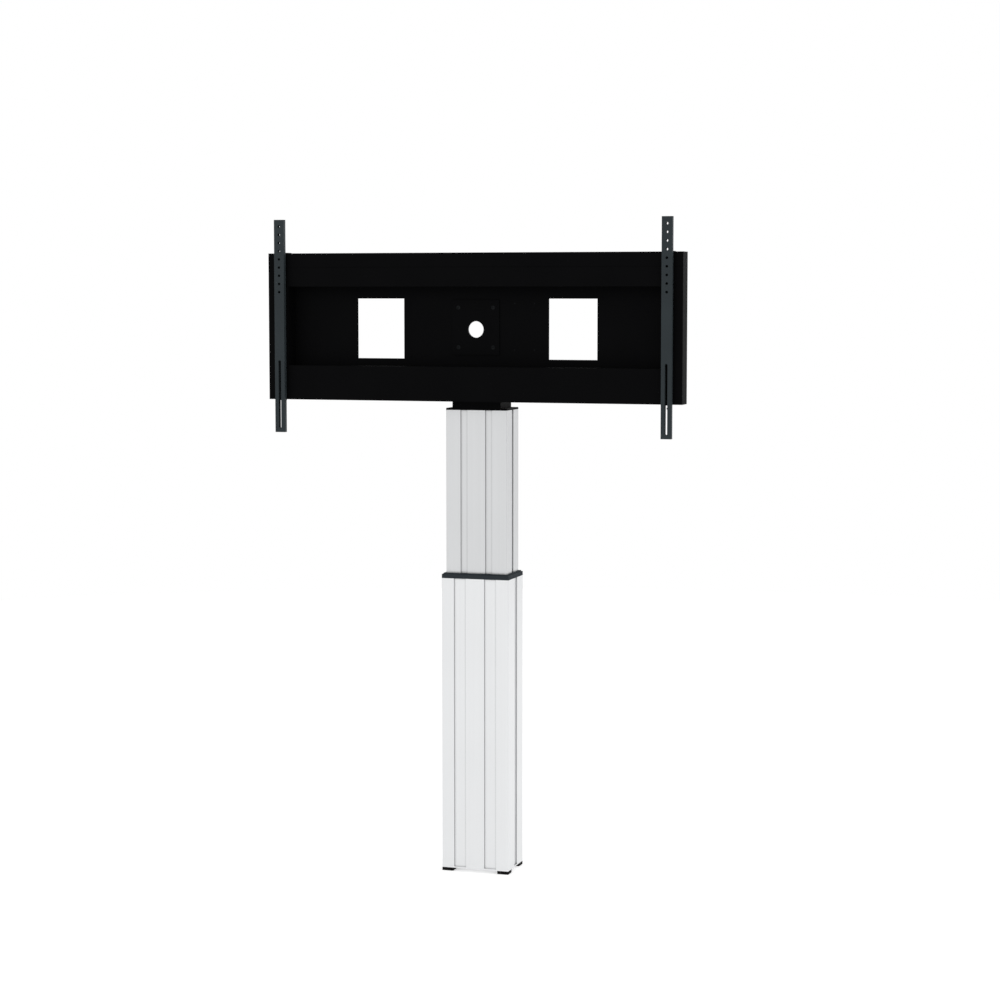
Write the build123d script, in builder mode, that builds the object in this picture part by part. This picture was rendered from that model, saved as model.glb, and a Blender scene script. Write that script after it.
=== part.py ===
"""Motorised floor stand for a large screen: telescoping column, neck, wide panel and two upright arms.

Millimetres. +Z is up, the front faces -Y and +X is to the right seen from the front. The origin is on
the floor under the middle of the column. The column is drawn fully raised.
"""

import math
import os

from build123d import *

os.makedirs("parts", exist_ok=True)

# Column
pad_size = 36
pad_height = 10
pad_recess_gap = 0.5
pad_chamfer = 0.6
end_plate_thickness = 4
outer_width = 214
outer_depth = 152
outer_wall = 3.5
outer_strip_x = 48.5
outer_strip_width = 38
outer_side_strip_width = 30
side_gap = 10  # from the outer profile's face to the inner one's, left and right
front_gap = 15  # the same, front and rear
lift_stroke = 490
stroke_reserve = 406  # what the outer profile is longer than the stroke, for the drive and the overlap
closed_gap = 9.5  # from the collar up to the cap plate when the column is fully down
closed_floor_gap = 51  # from the end plate up to the inner profile when the column is fully down
inner_wall = 3.5
inner_strip_x = 39.4
inner_strip_width = 22
inner_side_strip_width = 16
strip_depth = 3.5
edge_radius = 2
port_radius = 4.5  # screw port in the outer profile's wall
corner_boss_radius = 7
corner_boss_inset = 6
collar_height = 12.5
collar_chamfer = 1
lip_height = 3
lip_inset = 4
wiper_gap = 0.5
collar_tab_height = 9
collar_tab_thickness = 3
collar_tab_margin = 2
collar_side_tab_width = 12
collar_side_tab_margin = 3.5
glide_gap = 0.3
glide_margin_x = 1.5  # from a glide to the recessed strip beside it
glide_margin_y = 12
glide_chamfer = 1
upper_glide_height = 54
upper_glide_drop = 1
lower_glide_height = 60
lower_glide_rise = 5

# Cap plate, neck and panel
cap_thickness = 6
cap_chamfer = 0.8
neck_width = 154
neck_back_gap = 12  # from the neck's rear edge to the cap plate's
neck_wall = 5
neck_side_height = 129
neck_side_top_depth = 32.5  # what is left of a side wall's depth above its slope
neck_web_margin = 6  # from the centre plate's upper edge up to the neck's
neck_corner_radius = 3
neck_screw_inset_x = 14
neck_screw_inset_y = 13
cable_hole_radius = 5.5
panel_gap = 22  # from the cap plate up to the panel's lower edge
panel_width = 1308
panel_height = 448
panel_depth = 58.5
panel_corner_radius = 2
sheet = 2
side_band = 65
top_band = 101.5
bottom_band = 105
fold_line_drop = 43
fold_line_width = 1.6
fold_line_depth = 0.7
window_width = 150
window_centre_x = 305.5
window_rise = 22.5  # from the recess's lower edge up to a window
window_drop = 36.5  # from the recess's upper edge down to a window
cable_port_radius = 25
cable_port_drop = 6  # from the centre plate's middle down to the round hole's
centre_plate_width = 150
centre_plate_thickness = 3
centre_plate_rise = 35
centre_plate_drop = 40.5
centre_plate_corner_radius = 3
panel_screw_inset_x = 20
panel_screw_inset_z = 23
panel_screw_key_radius = 2.8
panel_screw_key_depth = 1.5
panel_nut_radius = 7.5
panel_nut_height = 6.5
panel_screw_spare = 2

# Arms
arm_edge_distance = 44  # from the panel's end to the middle of an arm
arm_width = 32
arm_depth = 16
arm_stand_off = 5  # from the panel's front to an arm's back
arm_over_top = 102
arm_below_bottom = 100.5
arm_corner_radius = 1
arm_hole_radius = 4
arm_hole_pitch = 25
arm_hole_count = 9
arm_first_hole_drop = 20.5
arm_slot_length = 209.5
arm_slot_rise = 11.5
hook_width = 16
hook_sheet = 2
hook_gap = 0.3
hook_lip = 16
hook_web_slope = 4
upper_hook_drop = 56
lower_hook_height = 50
lower_hook_reach = 16
clamp_screw_radius = 2.5
clamp_screw_length = 14
clamp_head_radius = 5
clamp_head_height = 5

# Drive
motor_plate_width = 100
motor_plate_gap = 12.5  # to the inner profile's front and rear walls
motor_plate_thickness = 10
motor_plate_corner_radius = 6
motor_plate_screw_inset = 10
motor_radius = 31.5
motor_length = 110
motor_screw_circle = 22.6
motor_screw_depth = 8
terminal_width = 18
terminal_depth = 20
terminal_height = 25
terminal_drop = 60
terminal_overlap = 1.5
gearbox_radius = 30
gearbox_length = 60
housing_length = 30
housing_lip = 4
housing_screw_depth = 12
bearing_bore_radius = 7.5
bearing_outer_radius = 17.5
bearing_width = 11
bearing_drop = 12
bearing_ball_radius = 3
bearing_ball_count = 8
bearing_ball_cover = 0.76  # share of a ball's radius that stands clear of each ring
bearing_cage_half = 0.6
journal_reach = 12
fit_gap = 0.02
running_gap = 0.06
spindle_radius = 10
spindle_spare = 75
shoulder_drop = 10
spindle_stop_wall = 4
spindle_stop_height = 8
spindle_stop_chamfer = 1
nut_stop_margin = 20
nut_height = 50
nut_plug_length = 22
nut_flange_height = 10
nut_flange_wall = 3
nut_tube_gap = 1  # round the spindle's end stop
nut_tube_wall = 4
nut_tube_foot_radius = 40
nut_tube_foot_height = 8
lock_screw_margin = 2

# Control box behind the panel
box_width = 110
box_height = 160
box_depth = 36
box_wall = 2
box_corner_radius = 3
box_edge_radius = 2
base_screw_inset_x = 24
base_screw_inset_z = 10
box_vent_width = 3
box_vent_length = 60
box_vent_pitch = 8
box_vent_count = 7
box_post_inset = 8
box_post_radius = 4
board_width = 84
board_height = 110
board_thickness = 1.6
board_stand = 7
board_stand_radius = 3
board_stand_inset = 6
capacitor_x = -26
capacitor_heights = (18, -4)
capacitor_radius = 8
relay_place = (24, -30)
relay_width = 24
relay_height = 16
board_part_depth = 16
transformer_place = (14, 20)
transformer_width = 44
transformer_height = 38
transformer_depth = 20
transformer_chamfer = 1
inlet_offset = -22
inlet_width = 28
inlet_height = 20
inlet_depth = 22
inlet_wall = 2
inlet_flange_x = 4
inlet_flange_y = 2.5
inlet_pin_width = 2
inlet_pin_height = 4
inlet_pin_places = [(-7, -2), (0, 3), (7, -2)]
inlet_pin_recess = 4
socket_offset = 24
socket_size = 15
socket_depth = 16
socket_mouth_radius = 5.5
socket_mouth_depth = 12

# Cable
cable_diameter = 6
cable_exit_drop = 28
cable_bend_share = 0.45

# Fasteners: shank radii, gaps in tapped and clearance holes, and head sizes over the shank's radius
screw_m4 = 2.0
screw_m5 = 2.5
screw_m6 = 3.0
screw_m8 = 4.0
thread_gap = 0.05
clearance_gap = 0.3
flat_head_ratio = 1.9
thin_head_ratio = 1.52
cap_head_ratio = 1.6
key_ratio = 0.9
key_depth_ratio = 0.8
profile_screw_length = 30
box_screw_length = 16
tapped_m8_radius = 3.4
floor_boss_radius = 8
floor_boss_height = 10
floor_fixing_x = 70
floor_fixing_y = 40

# Places worked out from the sizes above
end_plate_top = pad_height + end_plate_thickness
outer_length = lift_stroke + stroke_reserve
outer_top = end_plate_top + outer_length
collar_top = outer_top + collar_height + lip_height
closed_inner_top = collar_top + closed_gap
inner_top = closed_inner_top + lift_stroke
inner_length = closed_inner_top - end_plate_top - closed_floor_gap
inner_bottom = inner_top - inner_length
inner_width = outer_width - 2 * side_gap
inner_depth = outer_depth - 2 * front_gap
outer_inside_x = outer_width / 2 - outer_wall
outer_inside_y = outer_depth / 2 - outer_wall
inner_inside_x = inner_width / 2 - inner_wall
inner_inside_y = inner_depth / 2 - inner_wall
glide_reach_x = outer_inside_x - outer_strip_x - outer_strip_width / 2 - outer_wall - glide_margin_x
glide_reach_y = outer_inside_y - outer_side_strip_width / 2 - outer_wall - glide_margin_y
upper_glide_top = outer_top - collar_tab_height - upper_glide_drop
lower_glide_bottom = inner_bottom + lower_glide_rise
cap_top = inner_top + cap_thickness
neck_depth = inner_depth - neck_back_gap
neck_front_y = -inner_depth / 2
neck_middle_y = neck_front_y + neck_depth / 2
neck_web_back_y = neck_front_y + neck_wall
neck_floor_z = cap_top + neck_wall
cable_hole_x = motor_plate_width / 2 + cable_hole_radius + clearance_gap
panel_bottom = cap_top + panel_gap
panel_top = panel_bottom + panel_height
panel_middle_z = (panel_bottom + panel_top) / 2
panel_back_y = neck_front_y
panel_front_y = panel_back_y - panel_depth
recess_bottom = panel_bottom + bottom_band
recess_top = panel_top - top_band
recess_height = recess_top - recess_bottom
recess_middle_z = (recess_bottom + recess_top) / 2
recess_half_width = panel_width / 2 - side_band
recess_floor_y = panel_back_y - sheet
window_height = recess_height - window_rise - window_drop
window_centre_z = recess_bottom + window_rise + window_height / 2
centre_plate_height = recess_height - centre_plate_rise - centre_plate_drop
centre_plate_z = recess_bottom + centre_plate_rise + centre_plate_height / 2
centre_plate_front_y = recess_floor_y - centre_plate_thickness
cable_port_z = centre_plate_z - cable_port_drop
neck_web_height = centre_plate_z + centre_plate_height / 2 + neck_web_margin - cap_top
panel_screw_x = centre_plate_width / 2 - panel_screw_inset_x
panel_screw_z = centre_plate_height / 2 - panel_screw_inset_z
panel_screw_reach = neck_web_back_y - centre_plate_front_y + panel_nut_height + panel_screw_spare
arm_x = panel_width / 2 - arm_edge_distance
arm_back_y = panel_front_y - arm_stand_off
arm_front_y = arm_back_y - arm_depth
arm_middle_y = (arm_front_y + arm_back_y) / 2
arm_top = panel_top + arm_over_top
arm_bottom = panel_bottom - arm_below_bottom
hook_half_width = hook_width / 2
web_back_y = panel_front_y - hook_gap
upper_strap_bottom = panel_top + hook_gap
upper_strap_top = upper_strap_bottom + hook_sheet
lip_front_y = panel_back_y + hook_gap
lip_back_y = lip_front_y + hook_sheet
lower_strap_top = panel_bottom - hook_gap
lower_strap_bottom = lower_strap_top - hook_sheet
lower_strap_back_y = panel_front_y + lower_hook_reach
clamp_y = panel_front_y + lower_hook_reach / 2
motor_plate_depth = 2 * (inner_inside_y - motor_plate_gap)
motor_plate_bottom = inner_top - motor_plate_thickness
motor_bottom = motor_plate_bottom - motor_length
terminal_x = motor_radius + terminal_width / 2 - terminal_overlap
terminal_top = motor_plate_bottom - terminal_drop
gearbox_bottom = motor_bottom - gearbox_length
housing_bottom = gearbox_bottom - housing_length
housing_screw_circle = (bearing_outer_radius + gearbox_radius) / 2
bearing_top = gearbox_bottom - bearing_drop
bearing_bottom = bearing_top - bearing_width
bearing_middle = bearing_top - bearing_width / 2
race_radius = (bearing_bore_radius + bearing_outer_radius) / 2
race_wall = bearing_outer_radius - race_radius - bearing_ball_cover * bearing_ball_radius
spindle_shoulder = housing_bottom - shoulder_drop
spindle_length = lift_stroke + nut_height + nut_stop_margin + spindle_spare
spindle_bottom = spindle_shoulder - spindle_length
spindle_stop_radius = spindle_radius + spindle_stop_wall
nut_bottom = spindle_bottom + nut_stop_margin
nut_tube_top = nut_bottom + nut_plug_length
nut_tube_bore_radius = spindle_stop_radius + nut_tube_gap
nut_tube_radius = nut_tube_bore_radius + nut_tube_wall
nut_radius = nut_tube_radius - nut_flange_wall
lock_screw_start = spindle_radius + lock_screw_margin
lock_screw_z = nut_tube_top - nut_plug_length / 2
foot_screw_circle = (nut_tube_radius + nut_tube_foot_radius) / 2
port_x = inner_strip_x
port_y = outer_inside_y - strip_depth - outer_wall
corner_boss_x = inner_inside_x - corner_boss_inset
corner_boss_y = inner_inside_y - corner_boss_inset
pad_x = outer_width / 2 - pad_size / 2
pad_y = outer_depth / 2 - pad_size / 2
window_inner_x = window_centre_x - window_width / 2
box_x = (neck_width / 2 + window_inner_x) / 2
box_z = recess_middle_z
box_left_x = box_x - box_width / 2
box_bottom = box_z - box_height / 2
box_base_back_y = panel_back_y + box_wall
box_back_y = panel_back_y + box_depth
box_inside_back_y = box_back_y - box_wall
board_front_y = box_base_back_y + board_stand
board_back_y = board_front_y + board_thickness
inlet_x = box_x + inlet_offset
inlet_y = (box_base_back_y + box_inside_back_y) / 2
socket_x = box_x + socket_offset
cable_exit_z = box_z - cable_exit_drop
cable_end_x = terminal_x + cable_diameter / 2 + terminal_overlap

four_corners = [(-1, -1), (1, -1), (-1, 1), (1, 1)]
corner_names = ["front_left", "front_right", "rear_left", "rear_right"]
arm_sides = {"left": -1, "right": 1}


def mirrored(x, y, z):
    """Four places at one height, one in each quarter."""
    return [(sx * x, sy * y, z) for sx, sy in four_corners]


def on_circle(radius, z):
    """Four places at one height, on the diagonals of a circle round the column's axis."""
    return mirrored(radius / math.sqrt(2), radius / math.sqrt(2), z)


def round_box_middle(x, z):
    """Four places on the panel's back, one in each quarter round the middle of the control box."""
    return [(box_x + sx * x, box_z + sz * z) for sx, sz in four_corners]


def column_outline(width, depth, strip_x, strip_width, side_strip_width, grow=0.0):
    """Outline of a column profile: a rounded rectangle with recessed strips, grown by a clearance."""
    with BuildSketch() as outline:
        RectangleRounded(width + 2 * grow, depth + 2 * grow, edge_radius)
        with GridLocations(2 * strip_x, depth + 2 * grow, 2, 2):
            Rectangle(strip_width - 2 * grow, 2 * strip_depth, mode=Mode.SUBTRACT)
        with GridLocations(width + 2 * grow, 0, 2, 1):
            Rectangle(2 * strip_depth, side_strip_width - 2 * grow, mode=Mode.SUBTRACT)
    return outline.sketch


outer_outline = column_outline(
    outer_width, outer_depth, outer_strip_x, outer_strip_width, outer_side_strip_width)
inner_outline = column_outline(
    inner_width, inner_depth, inner_strip_x, inner_strip_width, inner_side_strip_width)
wiper_outline = column_outline(
    inner_width, inner_depth, inner_strip_x, inner_strip_width, inner_side_strip_width, wiper_gap)


def countersunk_screws(places, direction, shank_radius, length):
    """Flat-headed screws, flush at each place and pointing along the direction."""
    head_radius = flat_head_ratio * shank_radius
    head_height = head_radius - shank_radius
    planes = [Plane(origin=place, z_dir=direction) for place in places]
    with BuildPart() as screws:
        with Locations(*planes):
            Cone(head_radius, shank_radius, head_height, align=(Align.CENTER, Align.CENTER, Align.MIN))
            Cylinder(shank_radius, length, align=(Align.CENTER, Align.CENTER, Align.MIN))
        for plane in planes:
            with BuildSketch(plane):
                RegularPolygon(key_ratio * shank_radius, 6)
            extrude(amount=key_depth_ratio * shank_radius, mode=Mode.SUBTRACT)
    return screws


def cap_screws(places, direction, shank_radius, length):
    """Socket-headed screws whose heads stand on each place and whose shanks point along the direction."""
    head_radius = cap_head_ratio * shank_radius
    head_height = cap_head_ratio * shank_radius
    planes = [Plane(origin=place, z_dir=direction) for place in places]
    with BuildPart() as screws:
        with Locations(*planes):
            Cylinder(head_radius, head_height, align=(Align.CENTER, Align.CENTER, Align.MAX))
            Cylinder(shank_radius, length, align=(Align.CENTER, Align.CENTER, Align.MIN))
        for plane in planes:
            with BuildSketch(plane.offset(-head_height)):
                RegularPolygon(key_ratio * shank_radius, 6)
            extrude(amount=key_depth_ratio * shank_radius, mode=Mode.SUBTRACT)
    return screws


def cut_countersinks(places, direction, shank_radius, depth):
    """Countersunk clearance holes in the part being built."""
    head_radius = flat_head_ratio * shank_radius
    head_height = head_radius - shank_radius
    with Locations(*[Plane(origin=place, z_dir=direction) for place in places]):
        Cone(
            head_radius + thread_gap,
            shank_radius + thread_gap,
            head_height,
            align=(Align.CENTER, Align.CENTER, Align.MIN),
            mode=Mode.SUBTRACT,
        )
        Cylinder(
            shank_radius + thread_gap,
            depth,
            align=(Align.CENTER, Align.CENTER, Align.MIN),
            mode=Mode.SUBTRACT,
        )


# Screw places that two or more pieces share
end_plate_screw_places = mirrored(port_x, port_y, pad_height)
pad_screw_places = mirrored(pad_x, pad_y, pad_height / 2)
cap_screw_places = mirrored(corner_boss_x, corner_boss_y, cap_top)
motor_plate_screw_places = mirrored(
    motor_plate_width / 2 - motor_plate_screw_inset, motor_plate_depth / 2 - motor_plate_screw_inset, cap_top)
motor_screw_places = on_circle(motor_screw_circle, inner_top)
housing_screw_places = on_circle(housing_screw_circle, housing_bottom)
foot_screw_places = on_circle(foot_screw_circle, end_plate_top + nut_tube_foot_height)
neck_screw_places = mirrored(
    neck_width / 2 - neck_screw_inset_x, neck_front_y + neck_depth - neck_screw_inset_y, neck_floor_z)
panel_screw_places = [
    (sx * panel_screw_x, centre_plate_front_y, centre_plate_z + sz * panel_screw_z)
    for sx, sz in four_corners
]
base_screw_places = round_box_middle(box_width / 2 - base_screw_inset_x, box_height / 2 - base_screw_inset_z)
box_post_places = round_box_middle(box_width / 2 - box_post_inset, box_height / 2 - box_post_inset)
board_stand_places = round_box_middle(
    board_width / 2 - board_stand_inset, board_height / 2 - board_stand_inset)


# Floor pads, end plate and outer profile
for corner, (sx, sy) in zip(corner_names, four_corners):
    name = "floor_pad_" + corner
    with BuildPart() as floor_pad:
        with BuildSketch():
            with Locations((sx * pad_x, sy * pad_y)):
                RectangleRounded(pad_size, pad_size, edge_radius)
        extrude(amount=pad_height)
        cut_countersinks([(sx * pad_x, sy * pad_y, pad_height / 2)], (0, 0, 1), screw_m5, pad_height)
        with Locations((sx * pad_x, sy * pad_y, 0)):
            Cylinder(flat_head_ratio * screw_m5 + pad_recess_gap, pad_height, mode=Mode.SUBTRACT)
        chamfer(floor_pad.edges().group_by(Axis.Z)[0], pad_chamfer)
    floor_pad.part.label = name
    export_step(floor_pad.part, "parts/" + name + ".step")

with BuildPart() as end_plate:
    with BuildSketch(Plane.XY.offset(pad_height)):
        RectangleRounded(outer_width, outer_depth, edge_radius)
    extrude(amount=end_plate_thickness)
    with BuildSketch(Plane.XY.offset(end_plate_top)):
        with GridLocations(2 * floor_fixing_x, 2 * floor_fixing_y, 2, 2):
            Circle(floor_boss_radius)
    extrude(amount=floor_boss_height)
    with BuildSketch(Plane.XY.offset(pad_height)):
        with GridLocations(2 * floor_fixing_x, 2 * floor_fixing_y, 2, 2):
            Circle(tapped_m8_radius)
        with GridLocations(2 * pad_x, 2 * pad_y, 2, 2):
            Circle(screw_m5 + thread_gap)
        with Locations(*foot_screw_places):
            Circle(screw_m6 + thread_gap)
    extrude(amount=end_plate_thickness + floor_boss_height, mode=Mode.SUBTRACT)
    cut_countersinks(end_plate_screw_places, (0, 0, 1), screw_m5, end_plate_thickness)
end_plate.part.label = "end_plate"
export_step(end_plate.part, "parts/end_plate.step")

end_plate_screws = countersunk_screws(end_plate_screw_places, (0, 0, 1), screw_m5, profile_screw_length)
end_plate_screws.part.label = "end_plate_screws"
export_step(end_plate_screws.part, "parts/end_plate_screws.step")

floor_pad_screws = countersunk_screws(
    pad_screw_places, (0, 0, 1), screw_m5, pad_height / 2 + end_plate_thickness)
floor_pad_screws.part.label = "floor_pad_screws"
export_step(floor_pad_screws.part, "parts/floor_pad_screws.step")

with BuildPart() as outer_profile:
    with BuildSketch(Plane.XY.offset(end_plate_top)):
        add(outer_outline)
        offset(amount=-outer_wall, kind=Kind.INTERSECTION, mode=Mode.SUBTRACT)
        with GridLocations(2 * port_x, 2 * port_y, 2, 2):
            Circle(port_radius)
        with GridLocations(2 * port_x, 2 * port_y, 2, 2):
            Circle(screw_m5 + thread_gap, mode=Mode.SUBTRACT)
    extrude(amount=outer_length)
outer_profile.part.label = "outer_profile"
export_step(outer_profile.part, "parts/outer_profile.step")

# Collar with a raised wiper lip, and tabs that stand inside the outer profile's mouth
collar_tab_y = outer_inside_y - collar_tab_thickness / 2 - glide_gap
collar_tab_half_width = outer_strip_x - outer_strip_width / 2 - outer_wall - collar_tab_margin
collar_side_tab_x = outer_inside_x - collar_tab_thickness / 2 - glide_gap
collar_side_tab_start = outer_side_strip_width / 2 + outer_wall + collar_side_tab_margin
collar_side_tab_y = collar_side_tab_start + collar_side_tab_width / 2
with BuildPart() as collar:
    with BuildSketch(Plane.XY.offset(outer_top)):
        RectangleRounded(outer_width, outer_depth, edge_radius)
        add(wiper_outline, mode=Mode.SUBTRACT)
    extrude(amount=collar_height)
    chamfer(collar.faces().sort_by(Axis.Z)[-1].outer_wire().edges(), collar_chamfer)
    with BuildSketch(Plane.XY.offset(outer_top + collar_height)):
        RectangleRounded(outer_width - 2 * lip_inset, outer_depth - 2 * lip_inset, edge_radius)
        add(wiper_outline, mode=Mode.SUBTRACT)
    extrude(amount=lip_height)
    with BuildSketch(Plane.XY.offset(outer_top)):
        with GridLocations(0, 2 * collar_tab_y, 1, 2):
            Rectangle(2 * collar_tab_half_width, collar_tab_thickness)
        with GridLocations(2 * collar_side_tab_x, 2 * collar_side_tab_y, 2, 2):
            Rectangle(collar_tab_thickness, collar_side_tab_width)
    extrude(amount=-collar_tab_height)
collar.part.label = "collar"
export_step(collar.part, "parts/collar.step")

# Upper glides sit in the outer profile's corners just under the collar's tabs
for corner, (sx, sy) in zip(corner_names, four_corners):
    name = "upper_glide_" + corner
    with BuildPart() as upper_glide:
        with BuildSketch(Plane.XY.offset(upper_glide_top)):
            with Locations((sx * outer_inside_x, sy * outer_inside_y)):
                Rectangle(2 * glide_reach_x, 2 * glide_reach_y)
            Rectangle(2 * outer_inside_x, 2 * outer_inside_y, mode=Mode.INTERSECT)
            Rectangle(inner_width + 2 * glide_gap, inner_depth + 2 * glide_gap, mode=Mode.SUBTRACT)
        extrude(amount=-upper_glide_height)
        chamfer(upper_glide.edges().group_by(Axis.Z)[0], glide_chamfer)
    upper_glide.part.label = name
    export_step(upper_glide.part, "parts/" + name + ".step")

# Tube that stands on the end plate and carries the spindle nut
with BuildPart() as spindle_tube:
    with BuildSketch(Plane.XY.offset(end_plate_top)):
        Circle(nut_tube_foot_radius)
    extrude(amount=nut_tube_foot_height)
    with BuildSketch(Plane.XY.offset(end_plate_top)):
        Circle(nut_tube_radius)
    extrude(amount=nut_tube_top - end_plate_top)
    with BuildSketch(Plane.XY.offset(end_plate_top)):
        Circle(nut_tube_bore_radius)
        with Locations(*foot_screw_places):
            Circle(screw_m6 + thread_gap)
    extrude(amount=nut_tube_top - end_plate_top, mode=Mode.SUBTRACT)
    with BuildSketch(Plane.YZ):
        with Locations((0, lock_screw_z)):
            Circle(screw_m4 + thread_gap)
    extrude(amount=nut_tube_radius, mode=Mode.SUBTRACT)
spindle_tube.part.label = "spindle_tube"
export_step(spindle_tube.part, "parts/spindle_tube.step")

spindle_tube_screws = cap_screws(
    foot_screw_places, (0, 0, -1), screw_m6, nut_tube_foot_height + end_plate_thickness)
spindle_tube_screws.part.label = "spindle_tube_screws"
export_step(spindle_tube_screws.part, "parts/spindle_tube_screws.step")

with BuildPart() as spindle_nut:
    with BuildSketch(Plane.XY.offset(nut_bottom)):
        Circle(nut_tube_bore_radius - fit_gap)
    extrude(amount=nut_plug_length)
    with BuildSketch(Plane.XY.offset(nut_tube_top)):
        Circle(nut_tube_radius)
    extrude(amount=nut_flange_height)
    with BuildSketch(Plane.XY.offset(nut_tube_top)):
        Circle(nut_radius)
    extrude(amount=nut_height - nut_plug_length)
    with BuildSketch(Plane.XY.offset(nut_bottom)):
        Circle(spindle_radius + running_gap)
    extrude(amount=nut_height, mode=Mode.SUBTRACT)
    with BuildSketch(Plane.YZ.offset(lock_screw_start)):
        with Locations((0, lock_screw_z)):
            Circle(screw_m4 + thread_gap)
    extrude(amount=nut_tube_radius, mode=Mode.SUBTRACT)
spindle_nut.part.label = "spindle_nut"
export_step(spindle_nut.part, "parts/spindle_nut.step")

with BuildPart() as nut_lock_screw:
    with BuildSketch(Plane.YZ.offset(lock_screw_start)):
        with Locations((0, lock_screw_z)):
            Circle(screw_m4)
    extrude(amount=nut_tube_radius - lock_screw_start)
nut_lock_screw.part.label = "nut_lock_screw"
export_step(nut_lock_screw.part, "parts/nut_lock_screw.step")

# Inner profile with a screw boss in each corner
with BuildPart() as inner_profile:
    with BuildSketch(Plane.XY.offset(inner_bottom)):
        add(inner_outline)
        offset(amount=-inner_wall, kind=Kind.INTERSECTION, mode=Mode.SUBTRACT)
        with GridLocations(2 * corner_boss_x, 2 * corner_boss_y, 2, 2):
            Circle(corner_boss_radius)
        add(inner_outline, mode=Mode.INTERSECT)
        with GridLocations(2 * corner_boss_x, 2 * corner_boss_y, 2, 2):
            Circle(screw_m6 + thread_gap, mode=Mode.SUBTRACT)
    extrude(amount=inner_length)
inner_profile.part.label = "inner_profile"
export_step(inner_profile.part, "parts/inner_profile.step")

# Lower glides ride on the inner profile's corners, inside the outer profile
for corner, (sx, sy) in zip(corner_names, four_corners):
    name = "lower_glide_" + corner
    with BuildPart() as lower_glide:
        with BuildSketch(Plane.XY.offset(lower_glide_bottom)):
            with Locations((sx * outer_inside_x, sy * outer_inside_y)):
                Rectangle(2 * glide_reach_x, 2 * glide_reach_y)
            Rectangle(2 * (outer_inside_x - glide_gap), 2 * (outer_inside_y - glide_gap), mode=Mode.INTERSECT)
            Rectangle(inner_width, inner_depth, mode=Mode.SUBTRACT)
        extrude(amount=lower_glide_height)
        chamfer(lower_glide.edges().group_by(Axis.Z)[-1], glide_chamfer)
    lower_glide.part.label = name
    export_step(lower_glide.part, "parts/" + name + ".step")

with BuildPart() as cap_plate:
    with BuildSketch(Plane.XY.offset(inner_top)):
        RectangleRounded(inner_width, inner_depth, edge_radius)
        with Locations((cable_hole_x, 0)):
            Circle(cable_hole_radius, mode=Mode.SUBTRACT)
        with Locations(*neck_screw_places):
            Circle(screw_m8 + thread_gap, mode=Mode.SUBTRACT)
    extrude(amount=cap_thickness)
    chamfer(cap_plate.faces().sort_by(Axis.Z)[-1].outer_wire().edges(), cap_chamfer)
    cut_countersinks(cap_screw_places, (0, 0, -1), screw_m6, cap_thickness)
    cut_countersinks(motor_plate_screw_places, (0, 0, -1), screw_m6, cap_thickness)
cap_plate.part.label = "cap_plate"
export_step(cap_plate.part, "parts/cap_plate.step")

cap_plate_screws = countersunk_screws(cap_screw_places, (0, 0, -1), screw_m6, profile_screw_length)
cap_plate_screws.part.label = "cap_plate_screws"
export_step(cap_plate_screws.part, "parts/cap_plate_screws.step")

# Drive, hung in line under the cap plate
with BuildPart() as motor_plate:
    with BuildSketch(Plane.XY.offset(motor_plate_bottom)):
        RectangleRounded(motor_plate_width, motor_plate_depth, motor_plate_corner_radius)
        with Locations(*motor_plate_screw_places):
            Circle(screw_m6 + thread_gap, mode=Mode.SUBTRACT)
    extrude(amount=motor_plate_thickness)
    cut_countersinks(motor_screw_places, (0, 0, -1), screw_m5, motor_plate_thickness)
motor_plate.part.label = "motor_plate"
export_step(motor_plate.part, "parts/motor_plate.step")

motor_plate_screws = countersunk_screws(
    motor_plate_screw_places, (0, 0, -1), screw_m6, cap_thickness + motor_plate_thickness)
motor_plate_screws.part.label = "motor_plate_screws"
export_step(motor_plate_screws.part, "parts/motor_plate_screws.step")

motor_screws = countersunk_screws(
    motor_screw_places, (0, 0, -1), screw_m5, motor_plate_thickness + motor_screw_depth)
motor_screws.part.label = "motor_screws"
export_step(motor_screws.part, "parts/motor_screws.step")

with BuildPart() as motor:
    with BuildSketch(Plane.XY.offset(motor_bottom)):
        Circle(motor_radius)
    extrude(amount=motor_length)
    with BuildSketch(Plane.XY.offset(terminal_top - terminal_height)):
        with Locations((terminal_x, 0)):
            Rectangle(terminal_width, terminal_depth)
    extrude(amount=terminal_height)
    with BuildSketch(Plane.XY.offset(motor_plate_bottom)):
        with Locations(*motor_screw_places):
            Circle(screw_m5 + thread_gap)
    extrude(amount=-(motor_screw_depth + screw_m5), mode=Mode.SUBTRACT)
motor.part.label = "motor"
export_step(motor.part, "parts/motor.step")

with BuildPart() as gearbox:
    with BuildSketch(Plane.XY.offset(gearbox_bottom)):
        Circle(gearbox_radius)
    extrude(amount=gearbox_length)
    with BuildSketch(Plane.XY.offset(gearbox_bottom)):
        Circle(bearing_bore_radius + running_gap)
        with Locations(*housing_screw_places):
            Circle(screw_m4 + thread_gap)
    extrude(amount=journal_reach + screw_m4, mode=Mode.SUBTRACT)
gearbox.part.label = "gearbox"
export_step(gearbox.part, "parts/gearbox.step")

with BuildPart() as bearing_housing:
    with BuildSketch(Plane.XY.offset(housing_bottom)):
        Circle(gearbox_radius)
        Circle(bearing_bore_radius + housing_lip, mode=Mode.SUBTRACT)
        with Locations(*housing_screw_places):
            Circle(screw_m4 + thread_gap, mode=Mode.SUBTRACT)
    extrude(amount=housing_length)
    with BuildSketch(Plane.XY.offset(bearing_bottom)):
        Circle(bearing_outer_radius + fit_gap)
    extrude(amount=bearing_width + bearing_drop, mode=Mode.SUBTRACT)
bearing_housing.part.label = "bearing_housing"
export_step(bearing_housing.part, "parts/bearing_housing.step")

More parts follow.
